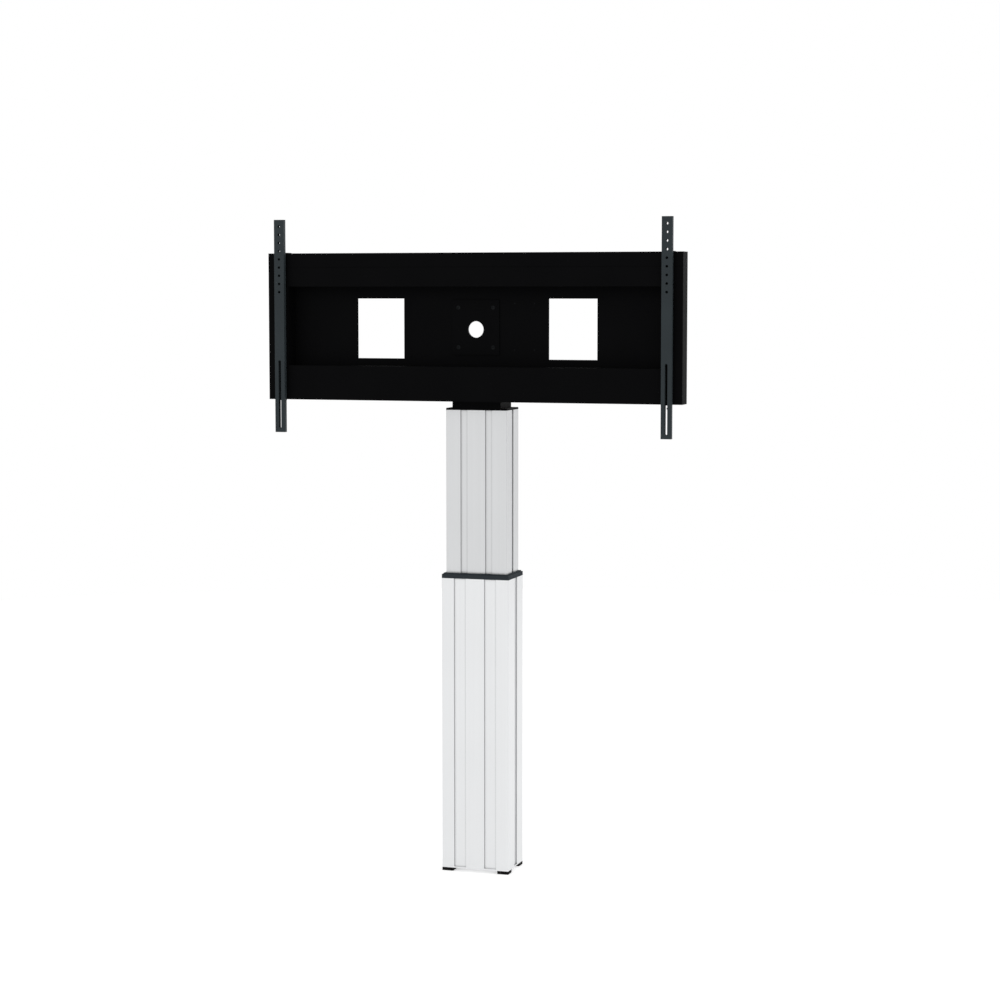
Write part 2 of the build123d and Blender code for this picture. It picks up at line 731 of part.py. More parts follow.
bearing_housing_screws = cap_screws(
    housing_screw_places, (0, 0, 1), screw_m4, housing_length + housing_screw_depth)
bearing_housing_screws.part.label = "bearing_housing_screws"
export_step(bearing_housing_screws.part, "parts/bearing_housing_screws.step")


# Ball bearing at the spindle's upper journal
def bearing_ring(inside_radius, outside_radius):
    """One ring of the ball bearing, with the groove that the balls run in."""
    with BuildPart() as ring:
        with BuildSketch(Plane.XY.offset(bearing_bottom)):
            Circle(outside_radius)
            Circle(inside_radius, mode=Mode.SUBTRACT)
        extrude(amount=bearing_width)
        with Locations((0, 0, bearing_middle)):
            Torus(race_radius, bearing_ball_radius + running_gap, mode=Mode.SUBTRACT)
    return ring


bearing_outer_ring = bearing_ring(bearing_outer_radius - race_wall, bearing_outer_radius)
bearing_outer_ring.part.label = "bearing_outer_ring"
export_step(bearing_outer_ring.part, "parts/bearing_outer_ring.step")

bearing_inner_ring = bearing_ring(bearing_bore_radius + fit_gap, bearing_bore_radius + race_wall)
bearing_inner_ring.part.label = "bearing_inner_ring"
export_step(bearing_inner_ring.part, "parts/bearing_inner_ring.step")

with BuildPart() as bearing_balls:
    with BuildSketch(Plane.XY.offset(bearing_middle)):
        Circle(race_radius + bearing_cage_half)
        Circle(race_radius - bearing_cage_half, mode=Mode.SUBTRACT)
    extrude(amount=bearing_cage_half, both=True)
    with Locations((0, 0, bearing_middle)):
        with PolarLocations(race_radius, bearing_ball_count):
            Sphere(bearing_ball_radius)
bearing_balls.part.label = "bearing_balls"
export_step(bearing_balls.part, "parts/bearing_balls.step")

with BuildPart() as spindle:
    with BuildSketch(Plane.XY.offset(spindle_bottom)):
        Circle(spindle_radius)
    extrude(amount=spindle_length)
    with BuildSketch(Plane.XY.offset(spindle_shoulder)):
        Circle(bearing_bore_radius)
    extrude(amount=gearbox_bottom + journal_reach - spindle_shoulder)
spindle.part.label = "spindle"
export_step(spindle.part, "parts/spindle.step")

with BuildPart() as spindle_stop:
    with BuildSketch(Plane.XY.offset(spindle_bottom)):
        Circle(spindle_stop_radius)
    extrude(amount=-spindle_stop_height)
    chamfer(spindle_stop.edges().group_by(Axis.Z)[0], spindle_stop_chamfer)
spindle_stop.part.label = "spindle_stop"
export_step(spindle_stop.part, "parts/spindle_stop.step")

# Neck: a front web, two side walls and a floor, open at the rear
with BuildPart() as neck_bracket:
    with BuildSketch(Plane.XY.offset(cap_top)):
        with Locations((0, neck_middle_y)):
            Rectangle(neck_width, neck_depth)
        with Locations((cable_hole_x, 0)):
            Circle(cable_hole_radius, mode=Mode.SUBTRACT)
        with Locations(*neck_screw_places):
            Circle(screw_m8 + clearance_gap, mode=Mode.SUBTRACT)
    extrude(amount=neck_wall)
    with BuildSketch(Plane.XY.offset(cap_top)):
        with Locations((0, neck_middle_y)):
            Rectangle(neck_width, neck_depth)
        with Locations((0, neck_middle_y + neck_wall)):
            Rectangle(neck_width - 2 * neck_wall, neck_depth, mode=Mode.SUBTRACT)
    extrude(amount=neck_side_height)
    with BuildSketch(Plane.XY.offset(cap_top)):
        with Locations((0, neck_front_y + neck_wall / 2)):
            Rectangle(neck_width, neck_wall)
    extrude(amount=neck_web_height)
    upper_rear_edges = neck_bracket.edges().filter_by(Axis.X).group_by(Axis.Y)[-1].group_by(Axis.Z)[-1]
    chamfer(upper_rear_edges, neck_depth - neck_side_top_depth)
    fillet(neck_bracket.edges().filter_by(Axis.Z).group_by(Axis.Y)[0], neck_corner_radius)
    with BuildSketch(Plane.XZ.offset(-neck_web_back_y)):
        with Locations((0, cable_port_z)):
            Circle(cable_port_radius)
        for x, y, z in panel_screw_places:
            with Locations((x, z)):
                Circle(screw_m8 + clearance_gap)
    extrude(amount=neck_wall, mode=Mode.SUBTRACT)
neck_bracket.part.label = "neck_bracket"
export_step(neck_bracket.part, "parts/neck_bracket.step")

neck_screws = cap_screws(neck_screw_places, (0, 0, -1), screw_m8, neck_wall + cap_thickness)
neck_screws.part.label = "neck_screws"
export_step(neck_screws.part, "parts/neck_screws.step")

# Mounting panel: one tray of sheet metal, its bands standing in front of a recessed middle
with BuildPart() as mounting_panel:
    with BuildSketch(Plane.XZ.offset(-panel_back_y)):
        with Locations((0, panel_middle_z)):
            Rectangle(panel_width, panel_height)
    extrude(amount=panel_depth)
    fillet(mounting_panel.edges().filter_by(Axis.Z).group_by(Axis.Y)[0], panel_corner_radius)
    with BuildSketch(Plane.XZ.offset(-panel_front_y)):
        with Locations((0, recess_middle_z)):
            Rectangle(2 * recess_half_width, recess_height)
    extrude(amount=-(panel_depth - sheet), mode=Mode.SUBTRACT)
    with BuildSketch(Plane.XZ.offset(-panel_back_y)):
        with Locations((0, panel_middle_z)):
            Rectangle(panel_width - 2 * sheet, panel_height - 2 * sheet)
        with Locations((0, recess_middle_z)):
            Rectangle(2 * (recess_half_width + sheet), recess_height + 2 * sheet, mode=Mode.SUBTRACT)
    extrude(amount=panel_depth - sheet, mode=Mode.SUBTRACT)
    with BuildSketch(Plane.XZ.offset(-panel_back_y)):
        with Locations((-window_centre_x, window_centre_z), (window_centre_x, window_centre_z)):
            Rectangle(window_width, window_height)
        with Locations((0, cable_port_z)):
            Circle(cable_port_radius)
        for x, y, z in panel_screw_places:
            with Locations((x, z)):
                Circle(screw_m8 + clearance_gap)
        for x, z in base_screw_places:
            with Locations((x, z)):
                Circle(screw_m4 + thread_gap)
    extrude(amount=sheet, mode=Mode.SUBTRACT)
    with BuildSketch(Plane.XZ.offset(-panel_front_y)):
        with Locations((0, panel_top - fold_line_drop)):
            Rectangle(panel_width, fold_line_width)
    extrude(amount=-fold_line_depth, mode=Mode.SUBTRACT)
mounting_panel.part.label = "mounting_panel"
export_step(mounting_panel.part, "parts/mounting_panel.step")

panel_screw_planes = [Plane(origin=place, z_dir=(0, 1, 0)) for place in panel_screw_places]
with BuildPart() as centre_plate:
    with BuildSketch(Plane.XZ.offset(-recess_floor_y)):
        with Locations((0, centre_plate_z)):
            RectangleRounded(centre_plate_width, centre_plate_height, centre_plate_corner_radius)
        with Locations((0, cable_port_z)):
            Circle(cable_port_radius, mode=Mode.SUBTRACT)
    extrude(amount=centre_plate_thickness)
    with Locations(*panel_screw_planes):
        Cone(
            thin_head_ratio * screw_m8 + clearance_gap,
            screw_m8 + clearance_gap,
            (thin_head_ratio - 1) * screw_m8,
            align=(Align.CENTER, Align.CENTER, Align.MIN),
            mode=Mode.SUBTRACT,
        )
        Cylinder(
            screw_m8 + clearance_gap,
            centre_plate_thickness,
            align=(Align.CENTER, Align.CENTER, Align.MIN),
            mode=Mode.SUBTRACT,
        )
centre_plate.part.label = "centre_plate"
export_step(centre_plate.part, "parts/centre_plate.step")

with BuildPart() as panel_screws:
    with Locations(*panel_screw_planes):
        Cone(
            thin_head_ratio * screw_m8,
            screw_m8,
            (thin_head_ratio - 1) * screw_m8,
            align=(Align.CENTER, Align.CENTER, Align.MIN),
        )
        Cylinder(screw_m8, panel_screw_reach, align=(Align.CENTER, Align.CENTER, Align.MIN))
    with BuildSketch(Plane.XZ.offset(-centre_plate_front_y)):
        for x, y, z in panel_screw_places:
            with Locations((x, z)):
                RegularPolygon(panel_screw_key_radius, 6)
    extrude(amount=-panel_screw_key_depth, mode=Mode.SUBTRACT)
panel_screws.part.label = "panel_screws"
export_step(panel_screws.part, "parts/panel_screws.step")

with BuildPart() as panel_nuts:
    with BuildSketch(Plane.XZ.offset(-neck_web_back_y)):
        for x, y, z in panel_screw_places:
            with Locations((x, z)):
                RegularPolygon(panel_nut_radius, 6)
                Circle(screw_m8 + thread_gap, mode=Mode.SUBTRACT)
    extrude(amount=-panel_nut_height)
panel_nuts.part.label = "panel_nuts"
export_step(panel_nuts.part, "parts/panel_nuts.step")

# Arms: upright rectangular tubes, drilled and slotted right through, with hook brackets welded behind
for side, direction in arm_sides.items():
    centre_x = direction * arm_x
    name = side + "_arm"
    with BuildPart() as arm:
        with BuildSketch(Plane.XY.offset(arm_bottom)):
            with Locations((centre_x, arm_middle_y)):
                RectangleRounded(arm_width, arm_depth, arm_corner_radius)
                Rectangle(arm_width - 2 * sheet, arm_depth - 2 * sheet, mode=Mode.SUBTRACT)
        extrude(amount=arm_top - arm_bottom)
        with BuildSketch(Plane.XZ.offset(-arm_front_y)):
            for hole in range(arm_hole_count):
                with Locations((centre_x, arm_top - arm_first_hole_drop - hole * arm_hole_pitch)):
                    Circle(arm_hole_radius)
            with Locations((centre_x, arm_bottom + arm_slot_rise + arm_slot_length / 2)):
                SlotOverall(arm_slot_length, 2 * arm_hole_radius, rotation=90)
        extrude(amount=-arm_depth, mode=Mode.SUBTRACT)
    arm.part.label = name
    export_step(arm.part, "parts/" + name + ".step")

    # Upper hook: two webs between the arm and the panel's front, and a strap over the panel's top edge
    name = side + "_upper_hook"
    with BuildPart() as upper_hook:
        for web_x in (-hook_half_width, hook_half_width - hook_sheet):
            with BuildSketch(Plane.YZ.offset(centre_x + web_x)):
                with BuildLine():
                    Polyline(
                        (arm_back_y, panel_top - upper_hook_drop),
                        (web_back_y, panel_top - upper_hook_drop + hook_web_slope),
                        (web_back_y, upper_strap_top),
                        (arm_back_y, upper_strap_top),
                        close=True,
                    )
                make_face()
            extrude(amount=hook_sheet)
        with BuildSketch(Plane.YZ.offset(centre_x - hook_half_width)):
            with BuildLine():
                Polyline(
                    (arm_back_y, upper_strap_bottom),
                    (arm_back_y, upper_strap_top),
                    (lip_back_y, upper_strap_top),
                    (lip_back_y, panel_top - hook_lip),
                    (lip_front_y, panel_top - hook_lip),
                    (lip_front_y, upper_strap_bottom),
                    close=True,
                )
            make_face()
        extrude(amount=hook_width)
    upper_hook.part.label = name
    export_step(upper_hook.part, "parts/" + name + ".step")

    # Lower bracket: two webs and a strap under the panel's lower edge, with a hole for the clamp screw
    name = side + "_lower_hook"
    with BuildPart() as lower_hook:
        for web_x in (-hook_half_width, hook_half_width - hook_sheet):
            with BuildSketch(Plane.YZ.offset(centre_x + web_x)):
                with BuildLine():
                    Polyline(
                        (arm_back_y, lower_strap_bottom),
                        (web_back_y, lower_strap_bottom),
                        (web_back_y, panel_bottom + lower_hook_height - hook_web_slope),
                        (arm_back_y, panel_bottom + lower_hook_height),
                        close=True,
                    )
                make_face()
            extrude(amount=hook_sheet)
        with BuildSketch(Plane.XY.offset(lower_strap_top)):
            with Locations((centre_x, (arm_back_y + lower_strap_back_y) / 2)):
                Rectangle(hook_width, lower_strap_back_y - arm_back_y)
            with Locations((centre_x, clamp_y)):
                Circle(clamp_screw_radius + thread_gap, mode=Mode.SUBTRACT)
        extrude(amount=-hook_sheet)
    lower_hook.part.label = name
    export_step(lower_hook.part, "parts/" + name + ".step")

    name = side + "_clamp_screw"
    with BuildPart() as clamp_screw:
        with BuildSketch(Plane.XY.offset(lower_strap_top)):
            with Locations((centre_x, clamp_y)):
                Circle(clamp_screw_radius)
        extrude(amount=-clamp_screw_length)
        with BuildSketch(Plane.XY.offset(lower_strap_top - clamp_screw_length)):
            with Locations((centre_x, clamp_y)):
                RegularPolygon(clamp_head_radius, 6)
        extrude(amount=clamp_head_height)
    clamp_screw.part.label = name
    export_step(clamp_screw.part, "parts/" + name + ".step")

# Control box on the panel's back, between the neck and the right window
with BuildPart() as control_box_base:
    with BuildSketch(Plane.XZ.offset(-panel_back_y)):
        with Locations((box_x, box_z)):
            RectangleRounded(box_width, box_height, box_corner_radius)
        for x, z in base_screw_places:
            with Locations((x, z)):
                Circle(screw_m4 + thread_gap, mode=Mode.SUBTRACT)
    extrude(amount=-box_wall)
control_box_base.part.label = "control_box_base"
export_step(control_box_base.part, "parts/control_box_base.step")

# Spacers pressed into the base: four short ones under the board, four tall ones for the cover's screws
with BuildPart() as control_box_spacers:
    with BuildSketch(Plane.XZ.offset(-box_base_back_y)):
        for x, z in board_stand_places:
            with Locations((x, z)):
                Circle(board_stand_radius)
    extrude(amount=-board_stand)
    with BuildSketch(Plane.XZ.offset(-box_base_back_y)):
        for x, z in box_post_places:
            with Locations((x, z)):
                Circle(box_post_radius)
                Circle(screw_m4 + thread_gap, mode=Mode.SUBTRACT)
    extrude(amount=-(box_inside_back_y - box_base_back_y))
control_box_spacers.part.label = "control_box_spacers"
export_step(control_box_spacers.part, "parts/control_box_spacers.step")

with BuildPart() as control_box_cover:
    with BuildSketch(Plane.XZ.offset(-box_base_back_y)):
        with Locations((box_x, box_z)):
            RectangleRounded(box_width, box_height, box_corner_radius)
    extrude(amount=-(box_back_y - box_base_back_y))
    fillet(control_box_cover.edges().group_by(Axis.Y)[-1], box_edge_radius)
    with BuildSketch(Plane.XZ.offset(-box_base_back_y)):
        with Locations((box_x, box_z)):
            Rectangle(box_width - 2 * box_wall, box_height - 2 * box_wall)
    extrude(amount=-(box_inside_back_y - box_base_back_y), mode=Mode.SUBTRACT)
    with BuildSketch(Plane.XY.offset(box_bottom)):
        with Locations((inlet_x, inlet_y)):
            Rectangle(inlet_width, inlet_height)
        with Locations((socket_x, inlet_y)):
            Rectangle(socket_size, socket_size)
    extrude(amount=box_wall, mode=Mode.SUBTRACT)
    with BuildSketch(Plane.YZ.offset(box_left_x)):
        with Locations((inlet_y, cable_exit_z)):
            Circle(cable_diameter / 2 + thread_gap)
    extrude(amount=box_wall, mode=Mode.SUBTRACT)
    with BuildSketch(Plane.XZ.offset(-box_back_y)):
        for x, z in box_post_places:
            with Locations((x, z)):
                Circle(screw_m4 + thread_gap)
        with Locations((box_x, box_z)):
            with GridLocations(0, box_vent_pitch, 1, box_vent_count):
                Rectangle(box_vent_length, box_vent_width)
    extrude(amount=box_wall, mode=Mode.SUBTRACT)
control_box_cover.part.label = "control_box_cover"
export_step(control_box_cover.part, "parts/control_box_cover.step")

control_box_screws = cap_screws(
    [(x, box_back_y, z) for x, z in box_post_places], (0, -1, 0), screw_m4, box_screw_length)
control_box_screws.part.label = "control_box_screws"
export_step(control_box_screws.part, "parts/control_box_screws.step")

# Screws from inside the box, through its base and into tapped holes in the panel
control_box_base_screws = cap_screws(
    [(x, box_base_back_y, z) for x, z in base_screw_places], (0, -1, 0), screw_m4, box_wall + sheet)
control_box_base_screws.part.label = "control_box_base_screws"
export_step(control_box_base_screws.part, "parts/control_box_base_screws.step")

with BuildPart() as control_board:
    with BuildSketch(Plane.XZ.offset(-board_front_y)):
        with Locations((box_x, box_z)):
            Rectangle(board_width, board_height)
    extrude(amount=-board_thickness)
    with BuildSketch(Plane.XZ.offset(-board_back_y)):
        for height in capacitor_heights:
            with Locations((box_x + capacitor_x, box_z + height)):
                Circle(capacitor_radius)
        with Locations((box_x + relay_place[0], box_z + relay_place[1])):
            Rectangle(relay_width, relay_height)
    extrude(amount=-board_part_depth)
control_board.part.label = "control_board"
export_step(control_board.part, "parts/control_board.step")

with BuildPart() as transformer:
    with BuildSketch(Plane.XZ.offset(-board_back_y)):
        with Locations((box_x + transformer_place[0], box_z + transformer_place[1])):
            Rectangle(transformer_width, transformer_height)
    extrude(amount=-transformer_depth)
    chamfer(transformer.edges().filter_by(Axis.Y), transformer_chamfer)
transformer.part.label = "transformer"
export_step(transformer.part, "parts/transformer.step")

# Mains inlet: a shrouded three-pin inlet that opens downwards, with a flange outside the cover
with BuildPart() as mains_inlet:
    with BuildSketch(Plane.XY.offset(box_bottom)):
        with Locations((inlet_x, inlet_y)):
            Rectangle(inlet_width - 2 * thread_gap, inlet_height - 2 * thread_gap)
    extrude(amount=inlet_depth)
    with BuildSketch(Plane.XY.offset(box_bottom)):
        with Locations((inlet_x, inlet_y)):
            RectangleRounded(
                inlet_width + 2 * inlet_flange_x, inlet_height + 2 * inlet_flange_y, edge_radius)
    extrude(amount=-inlet_wall)
    with BuildSketch(Plane.XY.offset(box_bottom - inlet_wall)):
        with Locations((inlet_x, inlet_y)):
            RectangleRounded(inlet_width - 2 * inlet_wall, inlet_height - 2 * inlet_wall, edge_radius)
    extrude(amount=inlet_depth, mode=Mode.SUBTRACT)
    with BuildSketch(Plane.XY.offset(box_bottom + inlet_depth)):
        for x, y in inlet_pin_places:
            with Locations((inlet_x + x, inlet_y + y)):
                Rectangle(inlet_pin_width, inlet_pin_height)
    extrude(amount=-(inlet_depth - inlet_pin_recess))
mains_inlet.part.label = "mains_inlet"
export_step(mains_inlet.part, "parts/mains_inlet.step")

with BuildPart() as handset_socket:
    with BuildSketch(Plane.XY.offset(box_bottom)):
        with Locations((socket_x, inlet_y)):
            Rectangle(socket_size - 2 * thread_gap, socket_size - 2 * thread_gap)
    extrude(amount=socket_depth)
    with BuildSketch(Plane.XY.offset(box_bottom)):
        with Locations((socket_x, inlet_y)):
            Circle(socket_mouth_radius)
    extrude(amount=socket_mouth_depth, mode=Mode.SUBTRACT)
handset_socket.part.label = "handset_socket"
export_step(handset_socket.part, "parts/handset_socket.step")

# Motor cable: out of the box's left wall, over the neck's side wall and down through the cap plate.
# The points follow the pieces that it passes, and each bend's radius comes from its two runs.
cable_points = [
    (box_left_x + box_wall, inlet_y, cable_exit_z),
    (box_left_x - 33, inlet_y, cable_exit_z),
    (box_left_x - 60, inlet_y + 5, cable_exit_z - 27),
    (box_left_x - 67, inlet_y + 18, cable_exit_z - 70),
    (box_left_x - 54, inlet_y + 35, neck_floor_z + 66),
    (cable_hole_x + 0.3, 0.5, neck_floor_z + 12),
    (cable_hole_x, -0.5, motor_plate_bottom - 11),
    (cable_end_x, 0, terminal_top + 25),
    (cable_end_x, 0, terminal_top),
]


def bend_radii(points):
    """Radius at each inner point: a share of the shorter run over the tangent of half the turn."""
    radii = []
    for before, here, after in zip(points, points[1:], points[2:]):
        run_in = Vector(*here) - Vector(*before)
        run_out = Vector(*after) - Vector(*here)
        half_turn = math.radians(run_in.get_angle(run_out)) / 2
        radii.append(cable_bend_share * min(run_in.length, run_out.length) / math.tan(half_turn))
    return radii


cable_radii = bend_radii(cable_points)
closed_room = spindle_bottom - spindle_stop_height - lift_stroke - end_plate_top
print("room under the spindle with the column down, mm:", closed_room)
print("motor cable bend radii, mm:", [round(radius, 1) for radius in cable_radii])
with BuildPart() as motor_cable:
    with BuildLine() as cable_path:
        FilletPolyline(*cable_points, radius=cable_radii)
    with BuildSketch(Plane(origin=cable_path.line @ 0, z_dir=cable_path.line % 0)):
        Circle(cable_diameter / 2)
    sweep()
cable_length = sum(edge.length for edge in cable_path.line.edges())
cable_section = math.pi * cable_diameter**2 / 4
print("motor cable length, mm:", round(cable_length, 1))
volume_ratio = motor_cable.part.volume / cable_section / cable_length
print("motor cable volume over section times length:", round(volume_ratio, 4))
motor_cable.part.label = "motor_cable"
export_step(motor_cable.part, "parts/motor_cable.step")
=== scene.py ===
import fnmatch
import math

import bmesh
import bpy
from mathutils import Matrix, Vector


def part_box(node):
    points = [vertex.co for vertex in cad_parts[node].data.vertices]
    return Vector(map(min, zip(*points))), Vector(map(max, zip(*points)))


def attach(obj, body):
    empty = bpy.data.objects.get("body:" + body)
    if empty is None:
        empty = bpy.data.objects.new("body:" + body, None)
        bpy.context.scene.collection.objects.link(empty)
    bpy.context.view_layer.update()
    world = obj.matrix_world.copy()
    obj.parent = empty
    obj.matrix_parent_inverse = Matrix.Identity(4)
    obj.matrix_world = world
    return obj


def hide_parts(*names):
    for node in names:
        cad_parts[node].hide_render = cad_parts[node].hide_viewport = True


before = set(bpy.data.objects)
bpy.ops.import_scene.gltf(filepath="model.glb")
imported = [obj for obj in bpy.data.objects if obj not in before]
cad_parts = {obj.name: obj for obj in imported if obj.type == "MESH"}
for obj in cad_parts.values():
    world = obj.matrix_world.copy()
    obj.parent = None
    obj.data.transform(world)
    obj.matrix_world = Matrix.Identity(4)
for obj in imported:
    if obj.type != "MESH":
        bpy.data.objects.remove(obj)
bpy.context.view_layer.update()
print("frame loaded:", len(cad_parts), "nodes")

mm = 0.001


def makeCamera():
    view = {
        "place": (2.2393, -6.9466, 1.7827),
        "turnLeft": 17.444,
        "tiltDown": 4.983,
        "lens": 85.85,
        "sensor": 36,
        "farthest": 200,
    }
    camera = bpy.data.objects.new("camera", bpy.data.cameras.new("camera"))
    bpy.context.scene.collection.objects.link(camera)
    camera.location = view["place"]
    camera.rotation_euler = (math.radians(90 - view["tiltDown"]), 0, math.radians(view["turnLeft"]))
    camera.data.lens = view["lens"]
    camera.data.sensor_width = view["sensor"]
    camera.data.clip_end = view["farthest"]
    bpy.context.scene.camera = camera


makeCamera()
print("camera made")


def linear(code):
    # sRGB hex to linear
    parts = [int(code[i:i + 2], 16) / 255 for i in (0, 2, 4)]
    return [c / 12.92 if c <= 0.04045 else ((c + 0.055) / 1.055) ** 2.4 for c in parts] + [1]


def addNode(tree, kind, values=None, links=None, **settings):
    node = tree.nodes.new("ShaderNode" + kind)
    for name, setting in settings.items():
        setattr(node, name, setting)
    for socket, value in (values or {}).items():
        node.inputs[socket].default_value = value
    for socket, output in (links or {}).items():
        tree.links.new(output, node.inputs[socket])
    return node


def perMetre(size):
    # texture scale that gives a feature of this size in millimetres
    return 1000 / size


def onObject(tree, scale=(1, 1, 1)):
    # Object coordinates, with each axis scaled
    place = addNode(tree, "TexCoord")
    mapping = addNode(tree, "Mapping", {"Scale": scale}, {"Vector": place.outputs["Object"]})
    return mapping.outputs["Vector"]


def seenDirectly(tree):
    # 1 for what the eye or a reflection sees, 0 for light that falls on a surface
    path = addNode(tree, "LightPath")
    return path, addNode(tree, "Math", links={0: path.outputs["Is Camera Ray"], 1: path.outputs["Is Glossy Ray"]},
                         operation="MAXIMUM")


def makeWorld():
    # the diffuse level is the room's fill, and the eye sees the white studio
    level = {"fill": 0.82, "seen": 1.0}
    world = bpy.data.worlds.new("studio")
    bpy.context.scene.world = world
    world.use_nodes = True
    tree = world.node_tree
    path, shiny = seenDirectly(tree)
    seen = addNode(tree, "Math", links={0: shiny.outputs[0], 1: path.outputs["Is Transmission Ray"]},
                   operation="MAXIMUM")
    strength = addNode(tree, "Math", {1: level["seen"] - level["fill"], 2: level["fill"]},
                       {0: seen.outputs[0]}, operation="MULTIPLY_ADD")
    background = tree.nodes["Background"]
    background.inputs["Color"].default_value = (1, 1, 1, 1)
    tree.links.new(strength.outputs[0], background.inputs["Strength"])


def makeFloor():
    # matt pale paint that still takes the column's shadow
    paint = {"colour": "E6E6E6", "glow": 0.4, "radius": 7, "sides": 96}
    mesh = bpy.data.meshes.new("floor")
    builder = bmesh.new()
    bmesh.ops.create_circle(builder, cap_ends=True, segments=paint["sides"], radius=paint["radius"])
    builder.to_mesh(mesh)
    builder.free()
    floor = bpy.data.objects.new("floor", mesh)
    bpy.context.scene.collection.objects.link(floor)
    material = bpy.data.materials.new("paleFloor")
    material.use_nodes = True
    tree = material.node_tree
    tree.nodes.clear()
    shiny = seenDirectly(tree)[1]
    strength = addNode(tree, "Math", {1: paint["glow"]}, {0: shiny.outputs[0]}, operation="MULTIPLY")
    matt = addNode(tree, "BsdfDiffuse", {"Color": linear(paint["colour"])})
    glow = addNode(tree, "Emission", links={"Strength": strength.outputs[0]})
    both = addNode(tree, "AddShader", links={0: matt.outputs[0], 1: glow.outputs[0]})
    addNode(tree, "OutputMaterial", links={"Surface": both.outputs[0]})
    mesh.materials.append(material)


def makeLamps():
    # low, wide lamps: the pale column has to stay short of white from every side
    target = Vector((0, 0, 1.1))
    lamps = {
        "keyLamp": {"place": (-3.0, -8.0, 6.0), "size": 5, "power": 110},
        "sideLamp": {"place": (7.0, 1.0, 5.5), "size": 5, "power": 75},
        "backLamp": {"place": (2.5, 8.0, 5.0), "size": 5, "power": 90},
    }
    for name, lamp in lamps.items():
        light = bpy.data.lights.new(name, "AREA")
        light.size = lamp["size"]
        light.energy = lamp["power"]
        holder = bpy.data.objects.new(name, light)
        holder.location = lamp["place"]
        holder.rotation_euler = (target - holder.location).to_track_quat("-Z", "Y").to_euler()
        bpy.context.scene.collection.objects.link(holder)


bpy.context.scene.view_settings.view_transform = "Standard"
makeWorld()
makeFloor()
makeLamps()
print("stage and lamps made")


def newMaterial(name, values):
    material = bpy.data.materials.new(name)
    material.use_nodes = True
    tree = material.node_tree
    shader = tree.nodes["Principled BSDF"]
    for socket, value in values.items():
        shader.inputs[socket].default_value = value
    return material, tree, shader


def average(tree, first, second):
    both = addNode(tree, "Math", links={0: first.outputs[0], 1: second.outputs[0]}, operation="ADD")
    return addNode(tree, "Math", {1: 0.5}, {0: both.outputs[0]}, operation="MULTIPLY").outputs[0]


def makeSkin(tree, shader, colouring, relief, look):
    # one pattern shades between two tones, and one sets how rough and how raised the skin is
    ramp = addNode(tree, "ValToRGB", links={"Fac": colouring})
    for element, position, tone in zip(ramp.color_ramp.elements, look["span"], look["tones"]):
        element.position = position
        element.color = linear(tone)
    tree.links.new(ramp.outputs["Color"], shader.inputs["Base Color"])
    if "roughness" in look:
        low, high = look["roughness"]
        rough = addNode(tree, "MapRange", {"To Min": low, "To Max": high}, {"Value": relief})
        tree.links.new(rough.outputs[0], shader.inputs["Roughness"])
    if "bump" in look:
        strength, height = look["bump"]
        bump = addNode(tree, "Bump", {"Strength": strength, "Distance": height * mm}, {"Height": relief})
        tree.links.new(bump.outputs[0], shader.inputs["Normal"])
    return ramp


def anodisedAluminium(name, tones):
    # extruded, etched and anodised: satin metal, with faint lines along the way it left the die,
    # and painted shade: an occlusion node darkens its colour down in the corners of its strips
    look = {
        "tones": tones,
        "span": (0.3, 0.7),
        "line": 5,  # die lines drawn about ten times too coarse, to show
        "lineRun": 900,
        "lineDetail": 4,
        "patch": 250,
        "patchDetail": 2,
        "roughness": (0.36, 0.44),
        "bump": (0.15, 0.05),
        "corner": 7,
        "paintedShadeDepth": 0.6,
        "paintedShadeSamples": 8,
    }
    material, tree, shader = newMaterial(name, {"Metallic": 1.0})
    lines = addNode(tree, "TexNoise", {"Scale": perMetre(look["line"]), "Detail": look["lineDetail"]},
                    {"Vector": onObject(tree, (1, 1, look["line"] / look["lineRun"]))})
    patches = addNode(tree, "TexNoise", {"Scale": perMetre(look["patch"]), "Detail": look["patchDetail"]},
                      {"Vector": onObject(tree)})
    film = makeSkin(tree, shader, average(tree, lines, patches), lines.outputs[0], look)
    # painted shade: ambient occlusion multiplies the metal's colour darker near inside corners
    corner = addNode(tree, "AmbientOcclusion", {"Distance": look["corner"] * mm}, samples=look["paintedShadeSamples"])
    depth = addNode(tree, "Math", {1: look["paintedShadeDepth"]}, {0: corner.outputs["AO"]}, operation="POWER")
    shade = addNode(tree, "Mix", {0: 1.0}, {6: film.outputs["Color"], 7: depth.outputs[0]},
                    data_type="RGBA", blend_type="MULTIPLY")
    tree.links.new(shade.outputs[2], shader.inputs["Base Color"])
    return material


def powderCoat(name, tones, values):
    # baked powder paint: a fine pebbled skin, a little glossier on its peaks
    look = {
        "tones": tones,
        "span": (0.35, 0.65),
        "grain": 1.6,  # drawn about 4 times too coarse, to show
        "grainDetail": 3,
        "cloud": 120,
        "cloudDetail": 2,
        "roughness": (0.54, 0.68),
        "bump": (0.25, 0.08),
    }
    material, tree, shader = newMaterial(name, values)
    grain = addNode(tree, "TexNoise", {"Scale": perMetre(look["grain"]), "Detail": look["grainDetail"]},
                    {"Vector": onObject(tree)})
    cloud = addNode(tree, "TexNoise", {"Scale": perMetre(look["cloud"]), "Detail": look["cloudDetail"]},
                    {"Vector": onObject(tree)})
    makeSkin(tree, shader, average(tree, grain, cloud), grain.outputs[0], look)
    return material


